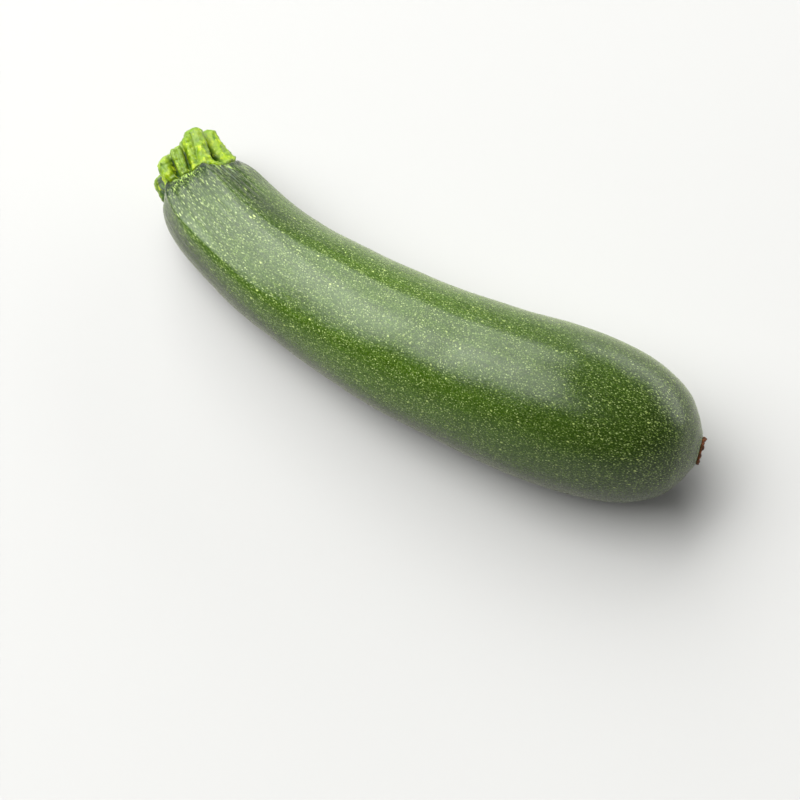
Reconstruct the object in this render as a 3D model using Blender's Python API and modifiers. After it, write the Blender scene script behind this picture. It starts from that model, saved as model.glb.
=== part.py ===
"""A zucchini lying on its side: the fruit, the cut stub of its stem and the dry scar of its flower.

Each piece is turned as a straight shape whose axis runs along +X, from the stem to the flower end, and its
round section is then reshaped by ribs or lobes. A spine curve bends all three in the level plane. The fruit
is cut flat along the narrow strip on which it rests. Distances along the fruit are counted from its
shoulder, where the stem joins it.
"""
import math

import bmesh
import bpy
from mathutils import Matrix, Vector

MM = 0.001
GAP = 0.3

# Fruit, in millimetres: distance from the shoulder, then the radius or the height of the axis there
FRUIT_LENGTH = 186.5
FRUIT_RADII = (
    (0.0, 12.8), (2.5, 14.0), (7.0, 15.7), (16.0, 16.9), (36.0, 17.9), (60.0, 19.8), (84.0, 21.6),
    (104.0, 22.6), (124.0, 24.1), (139.0, 24.9), (154.0, 24.4), (165.0, 22.7), (173.0, 19.8),
    (180.0, 15.3), (184.0, 10.1), (185.8, 6.6), (186.5, 5.2),
)
AXIS_HEIGHTS = (
    (-14.0, 14.8), (0.0, 15.8), (16.0, 16.9), (36.0, 17.9), (60.0, 19.6), (104.0, 22.3), (139.0, 24.5),
    (159.0, 24.3), (190.0, 23.0),
)
SHOULDER_DISH = 0.6

# Ribs: their places round the axis, in degrees from +Y towards +Z, and how they fade along the fruit
RIB_ANGLES = (12.0, 82.0, 143.0, 216.0, 292.0)
RIB_HALF_WIDTH = 17.0
RIB_HEIGHTS = ((0.0, 0.5), (6.0, 1.3), (30.0, 1.1), (75.0, 0.35), (120.0, 0.0), (188.0, 0.0))

# Stem stub: distance from its foot, then the radius between the ridges or the height of a ridge there
STEM_LENGTH = 10.4
STEM_RADII = ((0.0, 10.9), (3.0, 9.4), (7.0, 8.9), (10.4, 9.1))
STEM_RIDGE_HEIGHTS = ((0.0, 2.2), (3.0, 3.4), (7.0, 3.7), (10.4, 3.1))
STEM_RIM_ROUND = 1.2
STEM_CUT_DISH = 0.8
STEM_CUT_SLANT = 2.9
STEM_CUT_HIGH_SIDE = 22.0

# Ridges of the stub: place round the axis, share of the ridge height, half width, in degrees
STEM_RIDGES = (
    (18.0, 1.40, 21.0), (80.0, 1.05, 16.0), (113.0, 0.55, 10.0), (144.0, 1.00, 15.0), (180.0, 0.35, 10.0),
    (216.0, 1.00, 19.0), (254.0, 0.40, 10.0), (292.0, 1.10, 19.0), (332.0, 0.45, 10.0),
)

# Flower scar: a thin dry disc with an uneven edge
SCAR_RADIUS = 4.4
SCAR_THICKNESS = 1.5
SCAR_WAVES = 7
SCAR_WAVE_HEIGHT = 0.35

# Spine in the level plane, in millimetres: it starts this far before the shoulder
SPINE_LEAD = 25.2
SPINE_POINTS = ((-120.0, 38.6), (-75.0, 20.4), (-29.0, 15.7), (15.0, 18.9), (57.0, 27.2), (105.0, 40.9))
SPINE_STEPS = 48

# The block that cuts the fruit flat reaches well past it on all sides
CUTTER_LENGTH = 300.0
CUTTER_WIDTH = 200.0
CUTTER_DEPTH = 20.0

FRUIT_RINGS = 64
FRUIT_SIDES = 48
STEM_SIDES = 60
SCAR_SIDES = 28

COLLECTION = "zucchini"
CUTTERS = "zucchini_cutters"


def clear_scene():
    """Remove every object, so that the model starts from nothing."""
    for thing in list(bpy.data.objects):
        bpy.data.objects.remove(thing, do_unlink=True)


def slope(stations, index):
    """The slope at a station, from the stations on both sides of it."""
    low = stations[max(index - 1, 0)]
    high = stations[min(index + 1, len(stations) - 1)]
    return (high[1] - low[1]) / (high[0] - low[0])


def read_stations(stations, at):
    """The value at one distance, on a smooth curve through (distance, value) stations."""
    at = min(max(at, stations[0][0]), stations[-1][0])
    right = next(i for i in range(1, len(stations)) if at <= stations[i][0])
    (start, low), (end, high) = stations[right - 1], stations[right]
    span = end - start
    t = (at - start) / span
    rise = high - low
    lean_in = slope(stations, right - 1) * span
    lean_out = slope(stations, right) * span
    square = 3 * rise - 2 * lean_in - lean_out
    cube = lean_in + lean_out - 2 * rise
    return low + t * (lean_in + t * (square + t * cube))


def bump(angle, centre, half_width):
    """A rounded ridge round the axis: 1 on its crest, fading to 0 within about two half widths."""
    away = (angle - centre + 180.0) % 360.0 - 180.0
    return math.exp(-((away / half_width) ** 2))


def finish(name, colour, roughness):
    """A plain material in the piece's own colour."""
    material = bpy.data.materials.new(name)
    material.use_nodes = True
    shader = material.node_tree.nodes["Principled BSDF"]
    shader.inputs["Base Color"].default_value = (*colour, 1.0)
    shader.inputs["Roughness"].default_value = roughness
    shader.inputs["Metallic"].default_value = 0.0
    return material


def turn(name, profile, sides):
    """Turn a profile of (distance, radius) points into a closed body along +X, and return its object."""
    outline = bpy.data.meshes.new(name + "_outline")
    points = [(radius * MM, 0.0, -distance * MM) for distance, radius in profile]
    outline.from_pydata(points, [(i, i + 1) for i in range(len(points) - 1)], [])
    blank = bpy.data.objects.new(name + "_blank", outline)
    bpy.context.scene.collection.objects.link(blank)
    screw = blank.modifiers.new("turn", "SCREW")
    screw.steps = sides
    screw.render_steps = sides
    screw.use_merge_vertices = True
    screw.merge_threshold = 0.00001
    body = bpy.data.meshes.new_from_object(blank.evaluated_get(bpy.context.evaluated_depsgraph_get()))
    bpy.data.objects.remove(blank)
    body.transform(Matrix.Rotation(math.radians(-90.0), 4, "Y"))
    body.name = name
    piece = bpy.data.objects.new(name, body)
    bpy.data.collections[COLLECTION].objects.link(piece)
    return piece


def reshape(piece, section, lead):
    """Give each point the radius that section(distance, angle, radius) says, and lift it to the axis."""
    for vertex in piece.data.vertices:
        distance = vertex.co.x / MM
        radius = math.hypot(vertex.co.y, vertex.co.z) / MM
        angle = math.degrees(math.atan2(vertex.co.z, vertex.co.y))
        distance, radius = section(distance, angle, radius)
        across = radius * math.cos(math.radians(angle))
        up = radius * math.sin(math.radians(angle)) + read_stations(AXIS_HEIGHTS, distance + lead)
        vertex.co = Vector((distance + lead + SPINE_LEAD, across, up)) * MM


def bend(piece, spine):
    """Bend a straight piece along the spine."""
    modifier = piece.modifiers.new("bend", "CURVE")
    modifier.object = spine
    modifier.deform_axis = "POS_X"


def smooth(piece, angle):
    """Shade round faces smooth and keep edges sharper than the angle."""
    piece.data.shade_smooth()
    piece.data.set_sharp_from_angle(angle=math.radians(angle))


def make_spine(parent):
    """The level curve that all pieces are bent along."""
    curve = bpy.data.curves.new("spine", "CURVE")
    curve.dimensions = "3D"
    curve.twist_mode = "Z_UP"
    curve.resolution_u = SPINE_STEPS
    curve.render_resolution_u = SPINE_STEPS
    spline = curve.splines.new("BEZIER")
    spline.bezier_points.add(len(SPINE_POINTS) - 1)
    for point, (x, y) in zip(spline.bezier_points, SPINE_POINTS):
        point.co = Vector((x, y, 0.0)) * MM
        point.handle_left_type = "AUTO"
        point.handle_right_type = "AUTO"
    spine = bpy.data.objects.new("spine", curve)
    spine.hide_render = True
    spine.display_type = "WIRE"
    spine.parent = parent
    bpy.data.collections[CUTTERS].objects.link(spine)
    return spine


def make_surface_cutter(parent):
    """A block under the fruit whose top is the surface that the fruit rests on."""
    mesh = bpy.data.meshes.new("surface_cutter")
    block = bmesh.new()
    bmesh.ops.create_cube(block, size=1.0)
    block.to_mesh(mesh)
    block.free()
    mesh.transform(Matrix.Diagonal((CUTTER_LENGTH * MM, CUTTER_WIDTH * MM, CUTTER_DEPTH * MM, 1.0)))
    mesh.transform(Matrix.Translation((0.0, 0.0, -CUTTER_DEPTH * MM / 2)))
    cutter = bpy.data.objects.new("surface_cutter", mesh)
    cutter.hide_render = True
    cutter.display_type = "WIRE"
    cutter.parent = parent
    bpy.data.collections[CUTTERS].objects.link(cutter)
    return cutter


def fruit_section(distance, angle, radius):
    """The fruit's round section with its ribs, which stand highest under the stem."""
    full = read_stations(FRUIT_RADII, distance)
    share = min(radius / full, 1.0)
    ribs = sum(bump(angle, centre, RIB_HALF_WIDTH) for centre in RIB_ANGLES)
    return distance, radius + share * read_stations(RIB_HEIGHTS, distance) * ribs


def make_fruit(parent, spine, cutter):
    """The fruit: rings closer together at both ends, where it curves most."""
    profile = [(SHOULDER_DISH, 0.0)]
    for ring in range(FRUIT_RINGS + 1):
        distance = FRUIT_LENGTH * (0.5 - 0.5 * math.cos(math.pi * ring / FRUIT_RINGS))
        profile.append((distance, read_stations(FRUIT_RADII, distance)))
    profile.append((FRUIT_LENGTH, 0.0))
    fruit = turn("fruit", profile, FRUIT_SIDES)
    reshape(fruit, fruit_section, 0.0)
    bend(fruit, spine)
    rest = fruit.modifiers.new("resting_flat", "BOOLEAN")
    rest.operation = "DIFFERENCE"
    rest.solver = "EXACT"
    rest.object = cutter
    fruit.data.materials.append(finish("zucchini_skin", (0.06, 0.13, 0.03), 0.35))
    smooth(fruit, 50.0)
    fruit.parent = parent


def stem_section(distance, angle, radius):
    """The stub's section: a tall ridge over each rib, low ones between, and a slanted cut."""
    from_foot = STEM_LENGTH - distance
    full = read_stations(STEM_RADII, from_foot)
    share = min(radius / full, 1.0)
    ridges = sum(height * bump(angle, centre, half_width) for centre, height, half_width in STEM_RIDGES)
    radius += share * read_stations(STEM_RIDGE_HEIGHTS, from_foot) * ridges
    towards_high_side = radius / full * math.cos(math.radians(angle - STEM_CUT_HIGH_SIDE))
    return distance - STEM_CUT_SLANT * towards_high_side * from_foot / STEM_LENGTH, radius


def make_stem(parent, spine):
    """The stub, from its cut end at distance 0 down to its foot on the shoulder."""
    rim = read_stations(STEM_RADII, STEM_LENGTH)
    profile = [(STEM_CUT_DISH, 0.0), (STEM_CUT_DISH, rim * 0.45), (STEM_CUT_DISH * 0.4, rim * 0.75)]
    for step in range(4):
        round_angle = math.radians(step * 30.0)
        inset = STEM_RIM_ROUND * (1.0 - math.sin(round_angle))
        profile.append((STEM_RIM_ROUND * (1.0 - math.cos(round_angle)), rim - inset))
    for distance in (3.0, 5.0, 7.0, 8.5, 9.6, STEM_LENGTH):
        profile.append((distance, read_stations(STEM_RADII, STEM_LENGTH - distance)))
    profile.append((STEM_LENGTH, 0.0))
    stem = turn("stem", profile, STEM_SIDES)
    reshape(stem, stem_section, -STEM_LENGTH - GAP)
    bend(stem, spine)
    stem.data.materials.append(finish("stem_stub", (0.35, 0.55, 0.08), 0.45))
    smooth(stem, 50.0)
    stem.parent = parent


def scar_section(distance, angle, radius):
    """The scar's round section with an uneven edge."""
    share = radius / SCAR_RADIUS
    wave = math.sin(math.radians(angle * SCAR_WAVES)) + 0.6 * math.sin(math.radians(angle * 4 + 50))
    return distance, radius + share * SCAR_WAVE_HEIGHT * wave


def make_scar(parent, spine):
    """The dry disc that the flower left, slightly hollow on its outer face."""
    profile = [
        (0.0, 0.0), (0.0, SCAR_RADIUS * 0.9), (SCAR_THICKNESS * 0.3, SCAR_RADIUS),
        (SCAR_THICKNESS, SCAR_RADIUS * 0.9), (SCAR_THICKNESS * 0.7, SCAR_RADIUS * 0.55),
        (SCAR_THICKNESS * 0.75, 0.0),
    ]
    scar = turn("blossom_scar", profile, SCAR_SIDES)
    reshape(scar, scar_section, FRUIT_LENGTH + GAP)
    bend(scar, spine)
    scar.data.materials.append(finish("dry_scar", (0.2, 0.06, 0.02), 0.8))
    smooth(scar, 40.0)
    scar.parent = parent


def centre(parent):
    """Move the parent so that the origin is under the middle of the whole zucchini."""
    graph = bpy.context.evaluated_depsgraph_get()
    corners = []
    for piece in bpy.data.collections[COLLECTION].objects:
        if piece.type != "MESH":
            continue
        solid = piece.evaluated_get(graph)
        corners += [solid.matrix_world @ vertex.co for vertex in solid.data.vertices]
    middle = [(min(c[axis] for c in corners) + max(c[axis] for c in corners)) / 2 for axis in range(2)]
    parent.location = (-middle[0], -middle[1], 0.0)


def main():
    clear_scene()
    for name in (COLLECTION, CUTTERS):
        bpy.context.scene.collection.children.link(bpy.data.collections.new(name))
    place = bpy.data.objects.new("zucchini_place", None)
    bpy.data.collections[COLLECTION].objects.link(place)
    spine = make_spine(place)
    make_fruit(place, spine, make_surface_cutter(place))
    make_stem(place, spine)
    make_scar(place, spine)
    centre(place)


main()
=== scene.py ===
# %% [markdown]
# # A zucchini on a pale table
#
# A zucchini is one fleshy fruit with two small things left on it: the cut stub of the stalk that it hung
# from, and the dry scar of the flower that once sat at its other end. The CAD model holds these three as
# plain solids in their real places. This script makes their looks: a finer mesh for each, and a material
# that follows the grain of the plant.
#
# Lengths below are millimetres, and MM turns them into the metres that Blender works in. Only the lamps and
# the floor, which are far larger than the fruit, are given in metres.

# %% Load the fixed frame
import math

import bpy
import numpy as np
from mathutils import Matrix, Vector, noise


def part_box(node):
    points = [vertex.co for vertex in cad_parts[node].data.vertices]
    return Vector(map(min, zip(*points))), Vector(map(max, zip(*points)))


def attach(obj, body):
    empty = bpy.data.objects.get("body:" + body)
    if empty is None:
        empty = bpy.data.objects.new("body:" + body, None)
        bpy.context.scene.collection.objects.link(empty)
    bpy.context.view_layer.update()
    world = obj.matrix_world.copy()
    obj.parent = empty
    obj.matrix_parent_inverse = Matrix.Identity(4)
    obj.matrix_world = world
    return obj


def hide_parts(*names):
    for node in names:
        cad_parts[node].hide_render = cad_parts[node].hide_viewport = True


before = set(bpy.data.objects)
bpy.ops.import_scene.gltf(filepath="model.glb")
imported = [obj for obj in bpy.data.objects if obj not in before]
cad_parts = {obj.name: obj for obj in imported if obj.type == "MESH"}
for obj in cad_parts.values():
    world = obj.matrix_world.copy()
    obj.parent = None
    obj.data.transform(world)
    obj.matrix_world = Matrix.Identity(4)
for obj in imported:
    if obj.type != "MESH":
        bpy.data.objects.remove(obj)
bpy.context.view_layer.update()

MM = 0.001

# %% [markdown]
# ## The camera
#
# In the picture the zucchini is seen from above and from the side of its belly, with the stem at the upper
# left. There it leans on something. Here it lies flat, so the same view of it is had from a camera that
# stands higher. A long lens keeps both ends at nearly the same scale.

# %% Place the camera
VIEW_AZIMUTH = 33.5
VIEW_ELEVATION = 68.0
VIEW_DISTANCE = 682.0
VIEW_TARGET = Vector((10.7, -22.6, 20.0))
LENS = 100.0
NEAREST_SEEN = 10.0


def direction(azimuth, elevation):
    """The unit vector towards a compass angle, counted from +X towards +Y, and a height above the level."""
    flat = math.cos(math.radians(elevation))
    turn = math.radians(azimuth)
    return Vector((math.cos(turn) * flat, math.sin(turn) * flat, math.sin(math.radians(elevation))))


towards_camera = direction(VIEW_AZIMUTH - 90.0, VIEW_ELEVATION)
bpy.ops.object.select_all(action="DESELECT")
bpy.ops.object.camera_add(location=(VIEW_TARGET + towards_camera * VIEW_DISTANCE) * MM)
camera = bpy.context.object
camera.name = "product_camera"
camera.data.lens = LENS
camera.data.clip_start = NEAREST_SEEN * MM
camera.rotation_mode = "QUATERNION"
camera.rotation_quaternion = (-towards_camera).to_track_quat("-Z", "Y")
bpy.context.scene.camera = camera
print("camera at", [round(value, 3) for value in camera.location])

# %% [markdown]
# ## Light and floor
#
# A waxy skin shows its surroundings as a soft sheen, so the lights are as much a part of the look as the
# colours. One large softbox hangs beyond the stem end, and its broad reflection runs down the fruit. A
# smaller lamp high above carries that reflection on towards the flower end, and a low panel on the far side
# gives the upper rim and the blunt end a faint sheen of their own. The room is dark above and pale near the
# floor, as on a photographer's table with low white walls, so the side that faces away from the softbox
# keeps its deep green. Each lamp's power is worked out from the brightness that it should show in a mirror.
# The Standard view shows the colours as they are, so a hex value means the same in a material and on screen.

# %% Set the colour management
scene = bpy.context.scene
scene.view_settings.view_transform = "Standard"
print("view transform:", scene.view_settings.view_transform)

# %% Hang the lamps
LAMP_DISTANCE = 3.0
ZUCCHINI_MIDDLE = Vector((0.0, 0.0, 20.0)) * MM


def add_lamp(name, azimuth, elevation, width, height, brightness):
    """A rectangular lamp that faces the zucchini. Width and height are shares of its distance."""
    towards_lamp = direction(azimuth, elevation)
    bpy.ops.object.light_add(type="AREA", location=ZUCCHINI_MIDDLE + towards_lamp * LAMP_DISTANCE)
    lamp = bpy.context.object
    lamp.name = name
    lamp.data.shape = "RECTANGLE"
    lamp.data.size = width * LAMP_DISTANCE
    lamp.data.size_y = height * LAMP_DISTANCE
    lamp.data.energy = brightness * math.pi * lamp.data.size * lamp.data.size_y
    lamp.rotation_mode = "QUATERNION"
    lamp.rotation_quaternion = (-towards_lamp).to_track_quat("-Z", "Y")
    lamp.visible_camera = False
    print(name, "power", round(lamp.data.energy, 1), "W")


add_lamp("softbox", azimuth=170.0, elevation=45.0, width=1.8, height=0.85, brightness=5.3)
add_lamp("ceiling_bounce", azimuth=206.0, elevation=70.0, width=0.75, height=0.7, brightness=4.4)
add_lamp("low_panel", azimuth=72.0, elevation=13.0, width=1.3, height=0.5, brightness=2.8)


# %% Add a node to any tree
def add_node(tree, kind, inputs=(), **settings):
    """Add a shader node, give it its settings, and set or link its inputs, by name or by number."""
    node = tree.nodes.new("ShaderNode" + kind)
    for setting, value in settings.items():
        setattr(node, setting, value)
    for socket, value in dict(inputs).items():
        if isinstance(value, bpy.types.NodeSocket):
            tree.links.new(value, node.inputs[socket])
        else:
            node.inputs[socket].default_value = value
    return node


def shade(hex_colour):
    """A colour written as on a paint card, turned into the linear values that shaders use."""
    parts = [int(hex_colour[start:start + 2], 16) / 255.0 for start in (1, 3, 5)]
    linear = [part / 12.92 if part <= 0.04045 else ((part + 0.055) / 1.055) ** 2.4 for part in parts]
    return (*linear, 1.0)


# %% Make the room dark above and pale near the floor
ROOM_DARK = 0.0
ROOM_PALE = 0.75
DARK_FROM = 0.42
room = bpy.data.worlds.new("photo_table_room")
room.use_nodes = True
room.node_tree.nodes.clear()
looking = add_node(room.node_tree, "TexCoord")
height = add_node(room.node_tree, "SeparateXYZ", {0: looking.outputs["Generated"]})
glow = add_node(
    room.node_tree, "MapRange",
    {"Value": height.outputs["Z"], "From Max": DARK_FROM, "To Min": ROOM_PALE, "To Max": ROOM_DARK},
)
wall = add_node(room.node_tree, "Background", {"Color": shade("#ffffff"), "Strength": glow.outputs[0]})
add_node(room.node_tree, "OutputWorld", {"Surface": wall.outputs[0]})
scene.world = room
print(room.name, "glows", ROOM_PALE, "near the floor and", ROOM_DARK, "above")

# %% Lay the floor
FLOOR_SIZE = 3.0
FLOOR_GAP = 0.05
bpy.ops.mesh.primitive_plane_add(size=FLOOR_SIZE, location=(0.0, 0.0, -FLOOR_GAP * MM))
floor = bpy.context.object
floor.name = "pale_floor"
paper = bpy.data.materials.new("matt_white_paper")
paper.use_nodes = True
paper_shader = paper.node_tree.nodes["Principled BSDF"]
paper_shader.inputs["Base Color"].default_value = shade("#bdbdbb")
paper_shader.inputs["Roughness"].default_value = 0.9
paper_shader.inputs["Specular IOR Level"].default_value = 0.1
floor.data.materials.append(paper)
print(floor.name, "lies", FLOOR_GAP, "mm below what rests on it, so that no two faces share a place")

# %% [markdown]
# ## The outline of the fruit and its stalk
#
# The fruit and the stub of its stalk grew together, so one outline runs through both. It is given by
# stations: distances from the shoulder, with the radius there. Negative distances lie on the stalk. A smooth
# curve goes through them. They are the stations of the CAD model, except that the neck is up to a
# millimetre slimmer, because the ribs that stand on it here add to its width.

# %% Sizes along the length
FRUIT_LENGTH = 186.5
OUTLINE_RADII = (
    (-16.0, 9.1), (-10.7, 9.1), (-7.3, 8.9), (-3.3, 9.4), (-1.2, 10.4), (0.0, 11.6), (2.5, 13.2), (7.0, 14.9),
    (16.0, 16.3), (36.0, 17.4), (60.0, 19.4), (84.0, 21.3), (104.0, 22.4), (124.0, 23.9), (139.0, 24.7),
    (154.0, 24.3), (165.0, 22.7), (173.0, 19.8), (180.0, 15.3), (184.0, 10.0), (185.8, 6.3), (186.5, 5.0),
    (186.9, 3.6), (187.0, 0.0),
)
AXIS_HEIGHTS = (
    (-14.0, 14.8), (0.0, 15.8), (16.0, 16.9), (36.0, 17.9), (60.0, 19.6), (104.0, 22.3), (139.0, 24.5),
    (159.0, 24.3), (190.0, 23.0),
)


def read_stations(stations, at):
    """The values at an array of distances, on a smooth curve through (distance, value) stations."""
    places, values = np.array(stations, float).T
    slopes = np.empty_like(values)
    slopes[1:-1] = (values[2:] - values[:-2]) / (places[2:] - places[:-2])
    slopes[0] = (values[1] - values[0]) / (places[1] - places[0])
    slopes[-1] = (values[-1] - values[-2]) / (places[-1] - places[-2])
    at = np.clip(at, places[0], places[-1])
    right = np.clip(np.searchsorted(places, at), 1, len(places) - 1)
    left = right - 1
    span = places[right] - places[left]
    t = (at - places[left]) / span
    rise = values[right] - values[left]
    lean_in = slopes[left] * span
    lean_out = slopes[right] * span
    square = 3.0 * rise - 2.0 * lean_in - lean_out
    cube = lean_in + lean_out - 2.0 * rise
    return values[left] + t * (lean_in + t * (square + t * cube))


print("thickest at 139 mm, radius", round(float(read_stations(OUTLINE_RADII, 139.0)), 1))

# %% [markdown]
# ## Ribs and lobes
#
# A zucchini has five ribs. Near the stalk the fruit is almost a pentagon: flat between the ribs, with a
# corner at each, so each flat side catches the light as one plane. The corners soften along the fruit and
# are gone past its middle. The stalk is a bundle of round columns, thick ones in line with the ribs and
# thinner ones between, that lean round it on their way to the cut. Where two columns touch, a groove of its
# own keeps them apart, and a round core fills the bundle's middle. Angles are counted round the axis, from
# the hollow side of the bend (+Y) towards the top (+Z).

# %% Ribs of the fruit
RIBS = (
    # angle at the stalk, angle at 60 mm, share of the height, roundness of the side that follows
    (14.0, 12.0, 0.85, 0.1), (81.0, 84.0, 1.0, 0.0), (136.5, 143.0, 1.25, 0.15), (212.0, 216.0, 0.5, 0.5),
    (292.0, 292.0, 0.9, 0.5),
)
RIB_HEIGHTS = (
    (-4.0, 1.0), (0.0, 1.3), (3.0, 1.6), (10.0, 2.1), (30.0, 1.8), (60.0, 0.9), (90.0, 0.4), (125.0, 0.0),
    (190.0, 0.0),
)
CORNER_BLURS = ((0.0, 3.0), (15.0, 4.0), (60.0, 8.0), (100.0, 18.0))
BLUR_STEPS = (-1.0, -0.5, 0.0, 0.5, 1.0)


def ridge(angle, centre, half_width, power=2.0):
    """A ridge round the axis: 1 on its crest, fading to 0 within about two half widths."""
    away = (angle - centre + 180.0) % 360.0 - 180.0
    return np.exp(-np.abs(away / half_width) ** power)


def rib_angles(distance):
    """Where each rib stands, at an array of distances."""
    drift = np.clip(distance / 60.0, 0.0, 1.0)
    return [start + (end - start) * drift for start, end, share, roundness in RIBS]


def pentagon(distance, angle):
    """How far the flat-sided cross-section stands out: each rib's share at its corner, 0 between corners."""
    standing = np.zeros_like(angle)
    centres = rib_angles(distance)
    centres.append(centres[0] + 360.0)
    shares = [share for start, end, share, roundness in RIBS] + [RIBS[0][2]]
    rounds = [roundness for start, end, share, roundness in RIBS]
    angle = (angle - centres[0]) % 360.0 + centres[0]
    for rib, roundness in enumerate(rounds):
        start, end = centres[rib], centres[rib + 1]
        half = np.radians(end - start) / 2.0
        flat = np.cos(half) / np.cos(np.radians(angle - (start + end) / 2.0))
        corner = shares[rib] + (shares[rib + 1] - shares[rib]) * (angle - start) / (end - start)
        side = (flat - np.cos(half)) / (1.0 - np.cos(half))
        inside = (angle >= start) & (angle <= end)
        standing = np.where(inside, corner * (side + roundness * (1.0 - side)), standing)
    return standing


def ribbed(distance, angle):
    """The radius of the fruit at arrays of distances and angles."""
    blur = read_stations(CORNER_BLURS, distance)
    corners = sum(pentagon(distance, angle + blur * step) for step in BLUR_STEPS) / len(BLUR_STEPS)
    return read_stations(OUTLINE_RADII, distance) + read_stations(RIB_HEIGHTS, distance) * corners


ALL_ROUND = np.arange(360.0)
neck = ribbed(np.full_like(ALL_ROUND, 10.0), ALL_ROUND)
print("at 10 mm the radius goes from", round(neck.min(), 1), "to", round(neck.max(), 1))


# %% Lobes of the stalk
LOBES = (
    # angle at the foot, angle at the top, radius of the column, how far its crest lies out, distance where
    # it ends, length of its bevel
    (23.0, 19.0, 4.4, 14.6, -12.5, 1.3),
    (74.0, 49.0, 4.0, 13.6, -13.5, 2.2),
    (90.0, 71.0, 2.5, 12.5, -11.0, 1.4),
    (108.0, 97.0, 3.5, 12.8, -9.2, 1.8),
    (137.0, 124.0, 3.4, 13.0, -9.2, 3.0),
    (190.0, 182.0, 3.2, 12.0, -7.6, 1.6),
    (236.0, 230.0, 2.8, 12.0, -8.2, 1.5),
    (289.0, 283.0, 3.6, 12.9, -11.4, 2.5),
    (336.0, 330.0, 2.4, 12.0, -12.6, 1.5),
)
LOBE_GROOVES = (
    # angle at the foot, angle at the top, depth, half width in degrees
    (51.0, 34.0, 3.2, 6.0), (83.0, 62.0, 0.8, 3.0), (98.0, 83.0, 1.4, 3.5), (107.0, 97.0, 0.6, 3.0),
    (119.0, 111.0, 1.7, 3.8), (163.0, 153.0, 2.8, 7.0), (213.0, 206.0, 2.6, 7.0), (262.0, 256.0, 2.8, 7.0),
    (312.0, 306.0, 2.4, 6.0), (0.0, -5.0, 2.0, 6.0),
)
GROOVE_FADE = ((-16.0, 1.0), (0.0, 1.0), (4.0, 0.0), (8.0, 0.0))
TWIST_FROM = 2.0
TWIST_TO = -10.0
GROOVE_RADII = ((-16.0, 7.4), (-8.0, 7.7), (-3.0, 8.4), (-0.5, 9.2), (2.0, 10.8), (4.0, 12.6), (7.0, 14.5))
COLUMN_GROWTH = ((-16.0, 1.0), (-4.0, 1.0), (0.0, 1.05), (3.0, 1.3), (7.0, 2.2))
CREST_FLARE = ((-16.0, 0.0), (-11.0, 0.1), (-7.0, -0.2), (-3.0, -0.1), (0.0, 0.3), (3.0, 1.1), (7.0, 2.4))
GROOVE_END = -8.4
GROOVE_BEVEL = 1.2
CORE_RADIUS = 7.7
CORE_SHARPNESS = 1.6
LOBE_SHARPNESS = 5.0
USUAL_RADIUS = 10.0


def stalk_section(distance, angle):
    """For arrays of distances and angles: the stalk's radius, where it ends there, and its bevel's length."""
    growth = read_stations(COLUMN_GROWTH, distance)
    flare = read_stations(CREST_FLARE, distance)
    layers = [np.exp(LOBE_SHARPNESS * (read_stations(GROOVE_RADII, distance) - USUAL_RADIUS))]
    ends = [np.full_like(distance, GROOVE_END)]
    bevels = [np.full_like(distance, GROOVE_BEVEL)]
    twist = np.clip((distance - TWIST_FROM) / (TWIST_TO - TWIST_FROM), 0.0, 1.0)
    for foot, top, column, crest, end, bevel in LOBES:
        wide = column * growth
        middle = crest + flare - wide
        turn = np.radians(angle - foot - (top - foot) * twist)
        inside = wide ** 2 - (middle * np.sin(turn)) ** 2
        facing = np.cos(turn) > 0.0
        reach = middle * np.cos(turn) + np.sqrt(np.maximum(inside, 0.0))
        reach = np.where((inside > 0.0) & facing, reach, 0.0)
        layers.append(np.exp(LOBE_SHARPNESS * (reach - USUAL_RADIUS)))
        ends.append(np.full_like(distance, end))
        bevels.append(np.full_like(distance, bevel))
    total = sum(layers)
    radius = np.log(total) / LOBE_SHARPNESS + USUAL_RADIUS
    fade = read_stations(GROOVE_FADE, distance)
    for foot, top, depth, half_width in LOBE_GROOVES:
        radius = radius - fade * depth * ridge(angle, foot + (top - foot) * twist, half_width)
    radius = CORE_RADIUS + np.logaddexp(0.0, (radius - CORE_RADIUS) * CORE_SHARPNESS) / CORE_SHARPNESS
    ends_here = sum(layer * end for layer, end in zip(layers, ends)) / total
    bevels_here = sum(layer * bevel for layer, bevel in zip(layers, bevels)) / total
    return radius, ends_here, bevels_here


columns = stalk_section(np.full_like(ALL_ROUND, -6.0), ALL_ROUND)[0]
print("at -6 mm the stalk's radius goes from", round(columns.min(), 1), "to", round(columns.max(), 1))

# %% [markdown]
# ## Where the skin ends
#
# The dark skin doesn't stop at a neat circle. On each rib it climbs a little way up the stalk in a pointed
# tongue, and between the ribs the pale flesh of the stalk comes down over the shoulder with a ragged edge.
# One function gives that edge, and both meshes use it: the skin dives under the stalk above it, and the
# stalk dives under the skin below it.

# %% The edge between skin and stalk
EDGE_PLACES = (
    # angle, distance of the edge there, without the tongues
    (-30.0, 3.0), (0.0, 4.0), (35.0, 5.6), (58.0, 6.4), (72.0, 5.2), (98.0, 3.3), (120.0, 2.0), (150.0, 2.2),
    (200.0, 1.6), (260.0, 1.8), (330.0, 3.0), (360.0, 4.0),
)
TONGUE_REACH = 1.9
TONGUE_HALF_WIDTH = 8.0
EDGE_RAGGEDNESS = 0.45
EDGE_GRAIN = 1.5
COARSE_EDGE_GRAIN = 3.75
EDGE_RING_RADIUS = 14.0
EDGE_RING_PLACE = 3.3
BLEND_BEFORE = 3.5
BLEND_LENGTH = 6.0


def soft_noise(points, size):
    """Smooth noise from about -1 to 1 at an array of points, with features of the given size."""
    scale = 1.0 / size
    return np.array([noise.noise(Vector(point) * scale) for point in points])


def layered_noise(points, size, second_size, second_share, shift):
    """Smooth noise, with a share of noise of a second size over it that is read some way off."""
    return soft_noise(points, size) + second_share * soft_noise(points + shift, second_size)


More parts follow.
